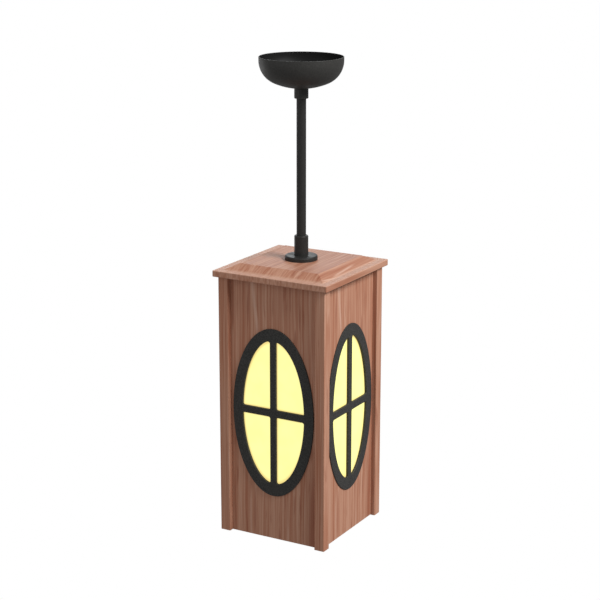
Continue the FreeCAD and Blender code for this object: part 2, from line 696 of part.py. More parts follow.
def oval_plate(label, half_width, half_height, offset, thick):
    """A flat oval behind the front face. Its rear is at offset from the lantern's axis."""
    body = new_body(label)
    sketch = new_sketch(body, "XZ_Plane", offset)
    oval(sketch, half_width, half_height, WINDOW_MIDDLE)
    pad(body, sketch, thick)
    return body


def open_oval(body, half_width, half_height):
    """Cuts an oval right through the plate."""
    sketch = new_sketch(body, "XZ_Plane")
    oval(sketch, half_width, half_height, WINDOW_MIDDLE)
    cut_through(body, sketch)


def cross_corners():
    """The outline of the upright bar and the cross bar together, at the window's middle."""
    across, wide = "upright_bar / 2", "light_half_width + light_round / 2"
    bar, upright = "cross_bar / 2", "light_half_height + light_round / 2"
    corners = []
    for sign_x, sign_z in ((1, 1), (1, -1), (-1, -1), (-1, 1)):
        quarter = [(across, upright), (across, bar), (wide, bar)]
        if sign_x != sign_z:
            quarter.reverse()
        for x, z in quarter:
            x = x if sign_x > 0 else "0 - " + x.replace("+", "-")
            z = " + " + z if sign_z > 0 else " - " + z.replace("+", "-")
            corners.append((x, WINDOW_MIDDLE + z))
    return corners


def fixing_places():
    """Where the retainer's screws go round the oval: top, bottom and two on each side."""
    across, upwards = "fixing_half_width * 0.866", " fixing_half_height * 0.5"
    places = [("0", WINDOW_MIDDLE + sign + "fixing_half_height") for sign in (" + ", " - ")]
    for x in (across, "0 - " + across):
        places += [(x, WINDOW_MIDDLE + " +" + upwards), (x, WINDOW_MIDDLE + " -" + upwards)]
    return places


def fixing_holes(body, offset, radius, depth):
    sketch = new_sketch(body, "XZ_Plane", offset)
    for x, z in fixing_places():
        circle(sketch, x, z, radius)
    pocket(body, sketch, depth)


def make_window_frame(side, quarters):
    """A flange in front of the panel, a spigot through it, and a cross over the pane."""
    frame = oval_plate("window_frame_" + side, "frame_half_width", "frame_half_height",
                       "body_half - panel_recess", "panel_recess - frame_recess")
    spigot = new_sketch(frame, "XZ_Plane", PANEL_BACK)
    oval(spigot, "cut_half_width - fit_gap", "cut_half_height - fit_gap", WINDOW_MIDDLE)
    pad(frame, spigot, "panel_thick")
    seat = new_sketch(frame, "XZ_Plane", PANEL_BACK)
    oval(seat, "seat_half_width", "seat_half_height", WINDOW_MIDDLE)
    pocket(frame, seat, "panel_recess + panel_thick - pane_recess")
    open_oval(frame, "light_half_width", "light_half_height")
    bars = new_sketch(frame, "XZ_Plane", "body_half - pane_recess")
    polygon(bars, cross_corners())
    pad(frame, bars, "pane_recess - frame_recess")
    front, rear = amount("frame_recess - body_half"), amount("pane_recess - body_half")

    def light_corner(edge):
        box = edge.BoundBox
        through = box.XLength < NEAR and box.ZLength < NEAR
        return through and abs(box.YMin - front) < NEAR and abs(box.YMax - rear) < NEAR
    soften(frame, "Fillet", "light_round", light_corner)
    soften(frame, "Chamfer", "frame_edge",
           lambda edge: abs(edge.BoundBox.YMin - front) < NEAR and edge.BoundBox.YLength < NEAR)
    fixing_holes(frame, PANEL_BACK, "fixing_radius + fit_gap / 4",
                 "fixing_length - retainer_thick + fit_gap")
    turned(frame, quarters)


def make_glazing(side, quarters):
    """The pane, the gasket behind it and the ring that holds both in the frame."""
    width, height = "seat_half_width - fit_gap", "seat_half_height - fit_gap"
    pane_back = "body_half - pane_recess - pane_thick"
    turned(oval_plate("window_pane_" + side, width, height, pane_back, "pane_thick"), quarters)
    gasket = oval_plate("pane_gasket_" + side, width, height, PANEL_BACK,
                        "panel_recess + panel_thick - pane_recess - pane_thick")
    open_oval(gasket, "retainer_eye_width", "retainer_eye_height")
    turned(gasket, quarters)
    rear = PANEL_BACK + " - retainer_thick"
    retainer = oval_plate("pane_retainer_" + side, "retainer_half_width", "retainer_half_height",
                          rear, "retainer_thick")
    open_oval(retainer, "retainer_eye_width", "retainer_eye_height")
    fixing_holes(retainer, rear, "fixing_radius + fit_gap / 2", "retainer_thick")
    turned(retainer, quarters)


def make_retainer_screws():
    """Small screws, from inside the box through the retainers into the frames."""
    screws = []
    outwards = FreeCAD.Rotation(ACROSS, QUARTER_TURN)
    seat_depth = amount("0 - body_half + panel_recess + panel_thick + retainer_thick")
    for quarters in range(len(SIDES)):
        for x, z in fixing_places():
            seat = FreeCAD.Vector(amount(x), seat_depth, amount(z))
            screws.append(fastener(f"retainer_screw_{len(screws)}", "fixing_radius", "fixing_length",
                                   "fixing_head", "fixing_radius", seat, outwards, quarters))
    group("retainer_screws", screws)


# Lampholder and bulb --------------------------------------------------------------------------

def make_lampholder():
    top = HOLDER_TOP
    neck, dome, joint = " - holder_neck", " - holder_dome", " - holder_joint"
    lathe("lampholder_cap", [
        ("nipple_radius + fit_gap / 4", top), ("holder_neck", top), ("holder_neck", top + neck),
        ("holder_radius", top + dome), ("holder_radius", top + joint),
        ("holder_radius - holder_wall", top + joint),
        ("holder_radius - holder_wall", top + dome + " - holder_wall / 2"),
        ("holder_neck - holder_wall", top + neck + " - holder_wall"),
        ("nipple_radius + fit_gap / 4", top + neck + " - holder_wall"),
    ])
    skirt = tube("lampholder_skirt", "holder_radius", "socket_radius + holder_wall",
                 top + " - holder_length", top + joint)
    foot = top + " - holder_length"
    soften(skirt, "Fillet", "flange_round / 2", is_level_circle(foot, "holder_radius"))
    tube("lampholder_insert", "socket_radius + holder_wall / 2", "filament_radius",
         top + " - insert_foot", top + " - insert_top")
    tube("lampholder_sleeve", "socket_radius", "socket_radius - socket_wall",
         top + " - socket_foot", top + " - insert_foot")
    contact = cylinder("contact_disc", "filament_radius * 3", "holder_wall / 2",
                       z=top + " - insert_foot - holder_wall / 2")
    as_node(contact, "lampholder_contact")


def make_bulb():
    """Base, insulator and tip at the top, and a hollow globe whose neck goes up into the base."""
    top = BULB_TOP
    shoulder = top + " - holder_wall"
    base_foot = shoulder + " - base_length"
    tube("bulb_base", "base_radius", "base_radius - base_wall", base_foot, shoulder)
    lathe("bulb_insulator", [
        ("0", shoulder), ("base_radius - base_wall - fit_gap / 4", shoulder),
        ("base_radius * 0.4", top + " - base_wall"), ("0", top + " - base_wall"),
    ])
    tip = cylinder("tip_disc", "base_radius * 0.3", "base_wall", z=top + " - base_wall")
    as_node(tip, "bulb_tip")

    globe = new_body("bulb_globe")
    neck_foot, neck_top = base_foot + " - glass_wall", base_foot + " + base_length / 3"
    outside = new_sketch(globe, "XZ_Plane")
    globe_outline(outside, "bulb_radius", "bulb_neck", neck_foot, neck_top)
    turn_solid(globe, outside)
    inside = new_sketch(globe, "XZ_Plane")
    globe_outline(inside, "bulb_radius - glass_wall", "bulb_neck - glass_wall", neck_foot,
                  neck_top + " - glass_wall")
    turn_solid(globe, inside, "Groove")

    filaments = []
    for quarters in range(len(SIDES)):
        rod = cylinder(f"filament_{quarters}", "filament_radius", "filament_length")
        turn = FreeCAD.Rotation(UP, QUARTER_TURN * quarters)
        ring = turn.multVec(FreeCAD.Vector(amount("filament_ring"), 0, 0))
        ring.z = amount(GLOBE_MIDDLE + " - filament_length / 2")
        rod.Placement.Base = ring
        filaments.append(rod)
    group("bulb_filaments", filaments)


def globe_outline(sketch, radius, neck, foot, top):
    """Half a pear: a ball about the globe's middle, a straight flank, and a neck from foot to top."""
    ball, throat = amount(radius), amount(neck)
    middle, low, high = amount(GLOBE_MIDDLE), amount(foot), amount(top)
    reach = math.hypot(throat, low - middle)
    lean = math.atan2(low - middle, throat) - math.acos(ball / reach)
    corners = [(ball * math.cos(lean), middle + ball * math.sin(lean)), (throat, low),
               (throat, high), (0, high), (0, middle - ball)]
    points = [FreeCAD.Vector(x, z, 0) for x, z in corners]
    ball_circle = Part.Circle(FreeCAD.Vector(0, middle, 0), UP, ball)
    sketch.addGeometry(Part.ArcOfCircle(ball_circle, -math.pi / 2, lean))
    for start, end in zip(points, points[1:]):
        sketch.addGeometry(Part.LineSegment(start, end))
    sketch.addConstraint(Sketcher.Constraint("Tangent", 0, 2, 1, 1))
    for line in (1, 2, 3):
        sketch.addConstraint(Sketcher.Constraint("Coincident", line, 2, line + 1, 1))
    sketch.addConstraint(Sketcher.Constraint("Coincident", 4, 2, 0, 1))
    fix_point(sketch, 0, 3, "0", GLOBE_MIDDLE)
    fix_point(sketch, 1, 2, neck, foot)
    fix_point(sketch, 2, 2, neck, top)
    fix_point(sketch, 3, 2, "0", top)
    sketch.addConstraint(Sketcher.Constraint("PointOnObject", 0, 1, -2))
    index = sketch.addConstraint(Sketcher.Constraint("Radius", 0, ball))
    sketch.setExpression(f"Constraints[{index}]", bound(radius))


# The whole lantern ----------------------------------------------------------------------------

def check_document():
    """Stops if any object failed to build, or a piece is empty or not valid."""
    failed = [thing.Name for thing in doc.Objects
              if "Invalid" in thing.State or "Error" in thing.State]
    failed += [node.Label for node in nodes if node.Shape.isNull() or not node.Shape.isValid()]
    if failed:
        raise RuntimeError(f"these objects failed: {failed}")


def write_parts():
    os.makedirs("parts", exist_ok=True)
    for node in nodes:
        node.Shape.exportStep(f"parts/{node.Label}.step")
        print(f"{node.Label}: {len(node.Shape.Solids)} solids, {node.Shape.Volume:.0f} mm3")


fill_sheet()
make_canopy()
make_hanging_eye()
make_stem()
make_terminals()
make_lead("live_lead", -1)
make_lead("neutral_lead", 1)
make_cap_board()
make_posts()
for turns, name in enumerate(SIDES):
    make_panel(name, turns)
    make_rail(name, turns)
    make_window_frame(name, turns)
    make_glazing(name, turns)
make_rail_screws()
make_retainer_screws()
make_lampholder()
make_bulb()
doc.recompute()
check_document()
write_parts()
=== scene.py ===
"""Looks of the hanging lantern: camera, studio, materials, and the threaded shells."""
import math
from collections import namedtuple

import bpy
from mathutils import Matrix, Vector


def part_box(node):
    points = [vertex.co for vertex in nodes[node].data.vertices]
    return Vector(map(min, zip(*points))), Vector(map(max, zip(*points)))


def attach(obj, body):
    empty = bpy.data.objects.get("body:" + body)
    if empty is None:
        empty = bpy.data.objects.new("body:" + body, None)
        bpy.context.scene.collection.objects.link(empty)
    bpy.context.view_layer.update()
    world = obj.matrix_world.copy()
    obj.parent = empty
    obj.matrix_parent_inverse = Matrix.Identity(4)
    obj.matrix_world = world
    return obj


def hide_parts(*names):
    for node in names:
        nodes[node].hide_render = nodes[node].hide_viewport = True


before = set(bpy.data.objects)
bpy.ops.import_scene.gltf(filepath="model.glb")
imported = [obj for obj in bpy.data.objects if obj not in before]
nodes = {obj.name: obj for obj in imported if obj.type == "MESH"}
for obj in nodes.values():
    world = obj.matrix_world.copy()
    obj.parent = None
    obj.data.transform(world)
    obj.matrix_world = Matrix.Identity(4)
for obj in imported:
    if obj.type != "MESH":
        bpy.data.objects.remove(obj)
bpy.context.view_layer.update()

MM = 0.001

# The levels that the looks are laid out on, in metres. The lip is the top edge round the cap board, below
# its raised field.
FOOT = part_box("corner_post_front_left")[0].z
PANEL_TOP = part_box("panel_front")[1].z
PANEL_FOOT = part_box("panel_front")[0].z
CAP_FIELD_RISE = 7.8 * MM
CAP_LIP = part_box("cap_board")[1].z - CAP_FIELD_RISE


# ---------------------------------------------------------------- camera and studio

# The lens and the sensor are in millimetres, the other lengths in metres.
VIEW_AZIMUTH = math.radians(29.85)
VIEW_PITCH = math.radians(15.05)
VIEW_DISTANCE = 2.315
VIEW_LENS = 100.97
SENSOR_WIDTH = 36
FARTHEST_SEEN = 60
AIM_ABOVE_FOOT = 0.325
AIM_ASIDE = -0.00175


def make_camera():
    """The camera looks down at the lantern from its front right."""
    back = Vector((math.sin(VIEW_AZIMUTH) * math.cos(VIEW_PITCH),
                   -math.cos(VIEW_AZIMUTH) * math.cos(VIEW_PITCH),
                   math.sin(VIEW_PITCH)))
    aside = Vector((math.cos(VIEW_AZIMUTH), math.sin(VIEW_AZIMUTH), 0)) * AIM_ASIDE
    target = Vector((0, 0, FOOT + AIM_ABOVE_FOOT)) + aside
    data = bpy.data.cameras.new("camera")
    data.sensor_width = SENSOR_WIDTH
    data.lens = VIEW_LENS
    data.clip_end = FARTHEST_SEEN
    camera = bpy.data.objects.new("camera", data)
    camera.location = target + back * VIEW_DISTANCE
    camera.rotation_euler = back.to_track_quat("Z", "Y").to_euler()
    bpy.context.scene.collection.objects.link(camera)
    bpy.context.scene.camera = camera


def make_area_light(name, direction, distance, size, power, colour=(1, 1, 1)):
    """A square soft box that looks at the middle of the lantern's box from the given direction."""
    middle = Vector((0, 0, (FOOT + PANEL_TOP) / 2))
    data = bpy.data.lights.new(name, "AREA")
    data.shape = "SQUARE"
    data.size = size
    data.energy = power
    data.color = colour
    light = bpy.data.objects.new(name, data)
    towards = Vector(direction).normalized()
    light.location = middle + towards * distance
    light.rotation_euler = towards.to_track_quat("Z", "Y").to_euler()
    bpy.context.scene.collection.objects.link(light)


def plain_white(name):
    """A material that only shines, for the floor and the backdrop."""
    material = bpy.data.materials.new(name)
    material.use_nodes = True
    tree = material.node_tree
    tree.nodes.clear()
    emission = tree.nodes.new("ShaderNodeEmission")
    emission.inputs["Strength"].default_value = 1.0
    output = tree.nodes.new("ShaderNodeOutputMaterial")
    tree.links.new(emission.outputs["Emission"], output.inputs["Surface"])
    return material


FLOOR_BELOW_FOOT = 2.8
ROOM_RADIUS = 14.0
ROOM_SIDES = 48
WALL_RINGS = 12


def make_room():
    """A white floor, and a round white backdrop that rises from its edge and closes overhead. Only the
    camera sees them: they neither light nor shade the lantern."""
    points = []
    for ring in range(WALL_RINGS):
        rise = math.pi / 2 * ring / WALL_RINGS
        radius = ROOM_RADIUS * math.cos(rise)
        level = FOOT - FLOOR_BELOW_FOOT + ROOM_RADIUS * math.sin(rise)
        for side in range(ROOM_SIDES):
            turn = 2 * math.pi * side / ROOM_SIDES
            points.append((radius * math.cos(turn), radius * math.sin(turn), level))
    top_ring = (WALL_RINGS - 1) * ROOM_SIDES
    faces = []
    for low in range(0, top_ring, ROOM_SIDES):
        high = low + ROOM_SIDES
        for side in range(ROOM_SIDES):
            after = (side + 1) % ROOM_SIDES
            faces.append((low + side, high + side, high + after, low + after))
    faces.append(tuple(range(top_ring, top_ring + ROOM_SIDES)))
    floor = new_mesh("floor", points[:ROOM_SIDES], [tuple(range(ROOM_SIDES))])
    backdrop = new_mesh("backdrop", points, faces)
    for piece in (floor, backdrop):
        piece.data.materials.append(plain_white(piece.name + "_white"))
        for ray in ("diffuse", "glossy", "transmission", "volume_scatter", "shadow"):
            setattr(piece, "visible_" + ray, False)


def new_mesh(name, points, faces):
    """An object made of those faces and put in the scene."""
    data = bpy.data.meshes.new(name)
    data.from_pydata(points, [], faces)
    piece = bpy.data.objects.new(name, data)
    bpy.context.scene.collection.objects.link(piece)
    return piece


AMBIENT = 0.30


def make_world():
    """An even grey surround is the fill light."""
    world = bpy.data.worlds.new("surround")
    world.use_nodes = True
    background = world.node_tree.nodes["Background"]
    background.inputs["Color"].default_value = (1, 1, 1, 1)
    background.inputs["Strength"].default_value = AMBIENT
    bpy.context.scene.world = world


COOL_WHITE = (0.94, 0.98, 1.0)
WARM_WHITE = (1.0, 0.97, 0.94)


def make_lights():
    """A key light from the upper right, and weak lights from the other sides and from below."""
    make_area_light("key_light", (0.75, -0.05, 0.68), 4.0, size=1.45, power=157)
    make_area_light("back_light", (-0.48, 0.84, 0.24), 3.0, size=1.6, power=16, colour=COOL_WHITE)
    make_area_light("front_light", (-0.50, -0.80, 0.55), 1.0, size=0.8, power=1.4)
    make_area_light("left_light", (-0.95, 0.30, -0.05), 3.0, size=1.6, power=9)
    make_area_light("floor_bounce", (0.15, -0.25, -0.95), 3.0, size=2.0, power=3.5, colour=WARM_WHITE)


# ---------------------------------------------------------------- materials


class Look:
    """A material being built: one Principled shader and the nodes that feed it. place is the point being
    shaded, in metres in the object's own frame, which is the lantern's frame at rest."""

    def __init__(self, name):
        self.material = bpy.data.materials.new(name)
        self.material.use_nodes = True
        self.tree = self.material.node_tree
        self.shader = self.tree.nodes["Principled BSDF"]
        self.place = self.tree.nodes.new("ShaderNodeTexCoord").outputs["Object"]

    def set(self, **values):
        """Constants on the shader's own sockets: metallic=1 sets Metallic, coat=0.5 sets Coat Weight."""
        for word, value in values.items():
            socket = self.shader.inputs[SOCKETS[word]]
            socket.default_value = (*value, 1) if isinstance(value, tuple) else value

    def feed(self, word, value):
        """Links a node's output to the shader's own socket."""
        self.tree.links.new(value, self.shader.inputs[SOCKETS[word]])

    def node(self, kind, *inputs, **settings):
        """A node of that kind whose inputs, in order, are values or other nodes' outputs."""
        made = self.tree.nodes.new(kind)
        for word, value in settings.items():
            setattr(made, word, value)
        for socket, value in zip(made.inputs, inputs):
            if isinstance(value, bpy.types.NodeSocket):
                self.tree.links.new(value, socket)
            elif value is not None:
                socket.default_value = value
        return made

    def sum(self, a, b):
        return self.node("ShaderNodeMath", a, b, operation="ADD").outputs[0]

    def product(self, a, b):
        return self.node("ShaderNodeMath", a, b, operation="MULTIPLY").outputs[0]

    def least(self, a, b):
        return self.node("ShaderNodeMath", a, b, operation="MINIMUM").outputs[0]

    def size(self, value):
        """value without its sign."""
        return self.node("ShaderNodeMath", value, operation="ABSOLUTE").outputs[0]

    def axes(self, place):
        """The X, Y and Z of a place."""
        return self.node("ShaderNodeSeparateXYZ", place).outputs

    def turned(self, place, turn):
        made = self.node("ShaderNodeMapping", place, vector_type="POINT")
        made.inputs["Rotation"].default_value = turn
        return made.outputs[0]

    def scaled(self, place, factors):
        return self.node("ShaderNodeVectorMath", place, factors, operation="MULTIPLY").outputs[0]

    def moved(self, place, offset):
        return self.node("ShaderNodeVectorMath", place, offset, operation="ADD").outputs[0]

    def noise(self, place, scale, detail=3.0, roughness=0.5):
        made = self.node("ShaderNodeTexNoise", place, noise_dimensions="3D")
        made.inputs["Scale"].default_value = scale
        made.inputs["Detail"].default_value = detail
        made.inputs["Roughness"].default_value = roughness
        return made.outputs["Fac"]

    def ramp(self, value, low, high, to_low=0.0, to_high=1.0):
        """value from low..high to to_low..to_high, smoothly, and held at the ends."""
        made = self.node("ShaderNodeMapRange", value, low, high, to_low, to_high,
                         interpolation_type="SMOOTHSTEP")
        return made.outputs[0]

    def mix(self, share, first, second):
        made = self.node("ShaderNodeMix", data_type="RGBA")
        for socket, value in ((made.inputs[0], share), (made.inputs[6], first), (made.inputs[7], second)):
            if isinstance(value, bpy.types.NodeSocket):
                self.tree.links.new(value, socket)
            else:
                socket.default_value = (*value, 1) if isinstance(value, tuple) else value
        return made.outputs[2]

    def bump(self, height, strength, depth):
        """depth is the bump's full height in metres."""
        made = self.node("ShaderNodeBump")
        made.inputs["Strength"].default_value = strength
        made.inputs["Distance"].default_value = depth
        self.tree.links.new(height, made.inputs["Height"])
        self.feed("normal", made.outputs["Normal"])


SOCKETS = {
    "colour": "Base Color", "metallic": "Metallic", "roughness": "Roughness", "ior": "IOR",
    "normal": "Normal", "specular": "Specular IOR Level", "transmission": "Transmission Weight",
    "coat": "Coat Weight", "coat_roughness": "Coat Roughness", "glow": "Emission Color",
    "glow_strength": "Emission Strength",
}

CEDAR_LIGHT = (0.565, 0.313, 0.213)
CEDAR_DARK = (0.362, 0.130, 0.068)
CEDAR_RED = (0.270, 0.080, 0.040)
CEDAR_PALE = (0.640, 0.410, 0.310)

# How often each kind of grain changes in a metre of the board: across it, through it and along it.
FINE_GRAIN = (800, 200, 9)
MIDDLE_GRAIN = (320, 75, 5)
BROAD_GRAIN = (85, 30, 2)
RED_GRAIN = (190, 60, 15)
PALE_GRAIN = (210, 60, 9)
DRIFT_GRAIN = (9, 9, 7)

# The whole width over which a line of the grain wanders, and the shifts that keep the red and the pale
# lines from following the rest.
GRAIN_WANDER = 6 * MM
RED_APART = (3.1, 0, 1.7)
PALE_APART = (7.3, 0, 4.9)

# A painted highlight along the cap's lip, a paler band: full up to the first distance from its level, gone
# at the second.
LIP_HIGHLIGHT_CORE = 0.4 * MM
LIP_HIGHLIGHT_FADED = 1.6 * MM
LIP_HIGHLIGHT_SHARE = 0.38

# A single mark on a board, a streak of its grain or a band of painted shade: where it is, how large it is,
# how far it moves across per length along, how strong it is, and whether it is pale or red.
Streak = namedtuple("Streak", "across along half_width half_length lean share pale")


def streak_share(look, streak, board_axes, wander):
    """How much of a streak shows at a point: most on its line, fading to its sides and ends."""
    from_middle = look.sum(board_axes["Z"], -streak.along)
    aside = look.sum(look.product(from_middle, -streak.lean), look.sum(board_axes["X"], -streak.across))
    narrow = look.ramp(look.size(look.sum(aside, wander)), 0.0, streak.half_width, 1.0, 0.0)
    full_length = streak.half_length * 0.4
    lengthwise = look.ramp(look.size(from_middle), full_length, streak.half_length, streak.share, 0.0)
    return look.product(narrow, lengthwise)


def wood(name, turn, streaks=(), seed=0.0, roughness=0.56, gloss=0.30, lip=None):
    """Planed cedar. turn brings the board's width to X, its thickness to Y and its grain to Z.
    streaks are the marks that every board of this kind shows, streaks of the grain and bands of painted
    shade, and seed tells its grain from the others'.
    lip is the level of the cap's top edge, which is painted paler than the rest as a painted highlight."""
    look = Look(name)
    board = look.turned(look.place, turn)
    drift = look.noise(look.scaled(board, DRIFT_GRAIN), 1.0, 2.0)
    wander = look.product(look.sum(drift, -0.5), GRAIN_WANDER)
    shift = look.node("ShaderNodeCombineXYZ", wander, 0.0, seed).outputs[0]
    grain = look.moved(board, shift)

    fine = look.noise(look.scaled(grain, FINE_GRAIN), 1.0, 3.0, 0.6)
    middle = look.noise(look.scaled(grain, MIDDLE_GRAIN), 1.0, 2.0)
    broad = look.noise(look.scaled(grain, BROAD_GRAIN), 1.0, 2.0)
    red = look.noise(look.scaled(look.moved(grain, RED_APART), RED_GRAIN), 1.0, 2.0)
    pale = look.noise(look.scaled(look.moved(grain, PALE_APART), PALE_GRAIN), 1.0, 2.0)

    tone = look.sum(look.sum(look.ramp(fine, 0.34, 0.66, 0, 0.32), look.ramp(middle, 0.36, 0.64, 0, 0.45)),
                    look.ramp(broad, 0.36, 0.64, 0, 0.23))
    colour = look.mix(tone, CEDAR_DARK, CEDAR_LIGHT)
    colour = look.mix(look.ramp(red, 0.60, 0.74, 0, 0.50), colour, CEDAR_RED)
    colour = look.mix(look.ramp(pale, 0.63, 0.77, 0, 0.34), colour, CEDAR_PALE)
    for streak in streaks:
        mark = streak_share(look, streak, look.axes(board), wander)
        mark = look.product(mark, look.ramp(fine, 0.2, 0.6, 0.55, 1.0))
        colour = look.mix(mark, colour, CEDAR_PALE if streak.pale else CEDAR_RED)
    # Painted highlight: the wood turns paler near the lip's level.
    if lip is not None:
        off = look.size(look.sum(look.axes(look.place)["Z"], -lip))
        colour = look.mix(look.ramp(off, LIP_HIGHLIGHT_CORE, LIP_HIGHLIGHT_FADED, LIP_HIGHLIGHT_SHARE, 0.0), colour, CEDAR_PALE)
    look.feed("colour", colour)
    look.feed("roughness", look.ramp(middle, 0.3, 0.75, roughness, roughness + 0.10))
    look.set(specular=gloss)
    relief = look.sum(fine, look.product(middle, 0.8))
    look.bump(relief, 0.25, 0.25 * MM)
    return look.material


# Painted shade inside a coated bowl: a wall's distance from the stem's axis, times how squarely it looks
# at it, where the shade starts and where it is full, and its near black colour.
INSIDE_SHADE_START = 12 * MM
INSIDE_SHADE_FULL = 35 * MM
INSIDE_SHADE_BLACK = (0.004, 0.004, 0.004)


def powder_coat(name, base, roughness, grit, gloss, painted_inside_shade=0.0):
    """Black powder coat over cast or spun metal: faint unevenness and grit of that size.
    The last argument is how far a wall that looks towards the stem turns near black, as painted shade
    inside a bowl."""
    look = Look(name)
    fine = look.noise(look.place, 1 / grit, 2.0, 0.6)
    soft = look.noise(look.place, 45, 3.0)
    dark = tuple(v * 0.62 for v in base)
    light = tuple(v * 1.45 for v in base)
    colour = look.mix(look.ramp(fine, 0.34, 0.66), dark, light)
    # Painted shade: walls that look towards the stem, as inside the bowl, turn near black.
    if painted_inside_shade:
        normal = look.node("ShaderNodeNewGeometry").outputs["Normal"]
        from_stem = look.scaled(look.place, (1, 1, 0))
        outward = look.node("ShaderNodeVectorMath", normal, from_stem, operation="DOT_PRODUCT")
        outward = outward.outputs["Value"]
        inside = look.ramp(outward, -INSIDE_SHADE_FULL, -INSIDE_SHADE_START, painted_inside_shade, 0.0)
        colour = look.mix(inside, colour, INSIDE_SHADE_BLACK)
    look.feed("colour", colour)
    look.feed("roughness", look.ramp(soft, 0.3, 0.7, roughness - 0.05, roughness + 0.07))
    look.set(specular=gloss)
    look.bump(fine, 0.18, 0.08 * MM)
    return look.material


# The clear part of a window: an oval, less the two bars that cross in its middle.
LIGHT_HALF_WIDTH = 48.4 * MM
LIGHT_HALF_HEIGHT = 102.5 * MM
UPRIGHT_HALF_BAR = 4.6 * MM
CROSS_HALF_BAR = 5.2 * MM
WINDOW_MIDDLE = (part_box("window_frame_front")[0].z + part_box("window_frame_front")[1].z) / 2

# The pane's own colour and its glow, which is painted light, where the opal is thick and where it is thin,
# and the painted shade in amber along its edge.
OPAL_THICK = (0.30, 0.285, 0.070)
OPAL_THIN = (0.34, 0.325, 0.085)
GLOW_THICK = (0.975, 0.940, 0.372)
GLOW_THIN = (1.0, 0.975, 0.402)
GLOW_EDGE_SHADE = (0.80, 0.50, 0.17)
EDGE_SHADE_CORE = 0.4 * MM
EDGE_SHADE_FADED = 3.0 * MM
EDGE_SHADE_SHARE = 0.60


def opal_pane(name, turn):
    """Yellow opal glass with the light behind it: an even glow with a faint cloudiness, which is painted
    light, and a painted shade of amber beside the frame and its bars. turn is the turn about Z that brings
    the pane to the front."""
    look = Look(name)
    cloud = look.noise(look.place, 38, 3.0)
    thin = look.ramp(cloud, 0.3, 0.7)
    centred = look.moved(look.turned(look.place, (0, 0, turn)), (0, 0, -WINDOW_MIDDLE))
    share = look.scaled(centred, (1 / LIGHT_HALF_WIDTH, 0, 1 / LIGHT_HALF_HEIGHT))
    reach = look.node("ShaderNodeVectorMath", share, operation="LENGTH").outputs["Value"]
    from_rim = look.product(look.sum(reach, -1.0), -LIGHT_HALF_WIDTH)
    axes = look.axes(centred)
    from_upright = look.sum(look.size(axes["X"]), -UPRIGHT_HALF_BAR)
    from_cross = look.sum(look.size(axes["Z"]), -CROSS_HALF_BAR)
    nearest = look.least(look.least(from_upright, from_cross), from_rim)
    glow = look.mix(thin, GLOW_THICK, GLOW_THIN)
    # Painted shade: the glow turns amber beside the frame and the bars.
    glow = look.mix(look.ramp(nearest, EDGE_SHADE_CORE, EDGE_SHADE_FADED, EDGE_SHADE_SHARE, 0.0), glow, GLOW_EDGE_SHADE)
    look.feed("glow", glow)
    look.feed("colour", look.mix(thin, OPAL_THICK, OPAL_THIN))
    look.set(glow_strength=0.96, roughness=0.28, specular=0.3)
    look.bump(cloud, 0.05, 0.2 * MM)
    return look.material


def metal(name, tint, roughness, marks=0.06):
    """Bare or plated metal with faint rubbing lines. marks is how far its roughness varies."""
    look = Look(name)
    haze = look.noise(look.place, 220, 4.0, 0.6)
    lines = look.noise(look.scaled(look.place, (300, 300, 2600)), 1.0, 2.0)
    look.feed("colour", look.mix(look.ramp(haze, 0.3, 0.75), tint, tuple(v * 0.80 for v in tint)))
    look.feed("roughness", look.ramp(haze, 0.25, 0.75, roughness - marks, roughness + marks))
    look.set(metallic=1.0)
    look.bump(lines, 0.06, 0.03 * MM)
    return look.material


def moulded(name, tint, roughness, coat=0.0, grain=0.35 * MM, uneven=0.12):
    """Moulded plastic, rubber or glazed ceramic: a nearly even colour over a faint grain of that size."""
    look = Look(name)
    cloud = look.noise(look.place, 120, 3.0)
    skin = look.noise(look.place, 1 / grain, 2.0)
    look.feed("colour", look.mix(look.ramp(cloud, 0.3, 0.7), tint, tuple(v * (1 - uneven) for v in tint)))
    look.feed("roughness", look.ramp(cloud, 0.3, 0.7, roughness - 0.04, roughness + 0.05))
    look.set(coat=coat, coat_roughness=0.12, specular=0.45)
    look.bump(skin, 0.12, 0.05 * MM)
    return look.material


def clear_glass(name, tint):
    """Blown glass with the faintest ripple."""
    look = Look(name)
    ripple = look.noise(look.place, 60, 2.0)
    look.feed("colour", look.mix(look.ramp(ripple, 0.3, 0.7), tint, tuple(v * 0.985 for v in tint)))
    look.set(transmission=1.0, roughness=0.0, ior=1.45)
    look.bump(ripple, 0.02, 0.2 * MM)
    return look.material


def glowing_filament(name):
    """The coated strips that shine inside the bulb, a little unevenly along their length."""
    look = Look(name)
    beads = look.noise(look.scaled(look.place, (200, 200, 700)), 1.0, 2.0)
    look.feed("glow", look.mix(look.ramp(beads, 0.3, 0.7), (1.0, 0.48, 0.12), (1.0, 0.60, 0.22)))
    look.feed("colour", look.mix(look.ramp(beads, 0.3, 0.7), (0.85, 0.62, 0.20), (0.95, 0.74, 0.32)))
    look.set(glow_strength=0.9, roughness=0.5)
    return look.material


# Which way each side of the box faces, as the turn about Z that brings it to the front.
SIDES = {"front": 0.0, "right": -math.pi / 2, "back": math.pi, "left": math.pi / 2}

